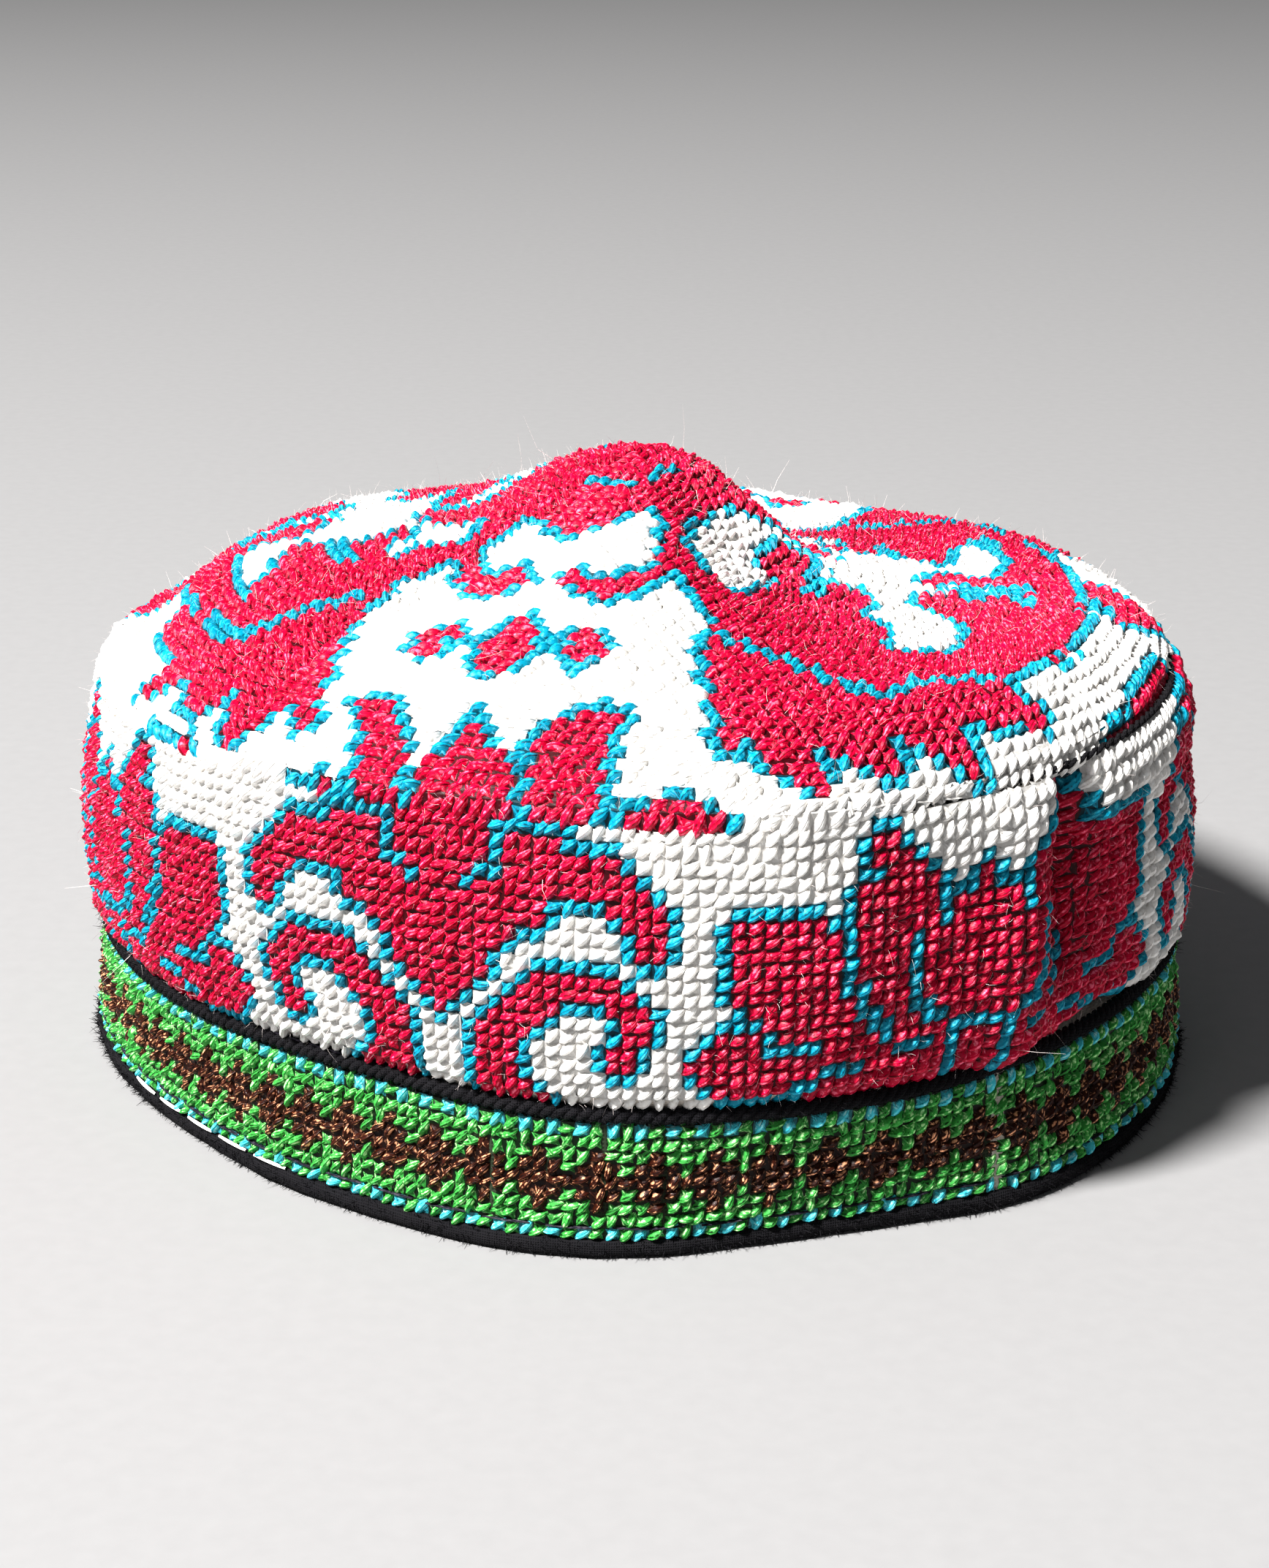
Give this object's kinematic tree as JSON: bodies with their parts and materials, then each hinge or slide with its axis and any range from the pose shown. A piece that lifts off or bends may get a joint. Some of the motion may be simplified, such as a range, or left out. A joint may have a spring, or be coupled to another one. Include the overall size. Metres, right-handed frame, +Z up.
{
  "type": "tubeteika skullcap",
  "caption": "Soft oval skullcap with a low peaked crown, a stitched upright side wall, a patterned band, a cord and a bound rim, open below for a head.",
  "frame": {"origin": "on the floor, under the middle of the cap's box, at the height of the rim's underside", "axes": "+Z up through the peak; -Y is the front that the picture looks at, and Y runs along the longer side of the oval rim"},
  "size_m": [0.182, 0.195, 0.0962],
  "materials": {
    "crown_stitching": "puffy matte silk cross stitch in white, crimson and teal",
    "wall_stitching": "puffy matte silk cross stitch in crimson, white and teal",
    "band_stitching": "fine cross stitch in green, brown and pale blue",
    "black_cord": "fuzzy twisted black cord",
    "black_binding": "fuzzy black woven binding"
  },
  "bodies": {
    "root": {"crown": "crown_stitching", "side_wall": "wall_stitching", "green_band": "band_stitching", "black_braid": "black_cord", "rim_binding": "black_binding"}
  },
  "joints": []
}
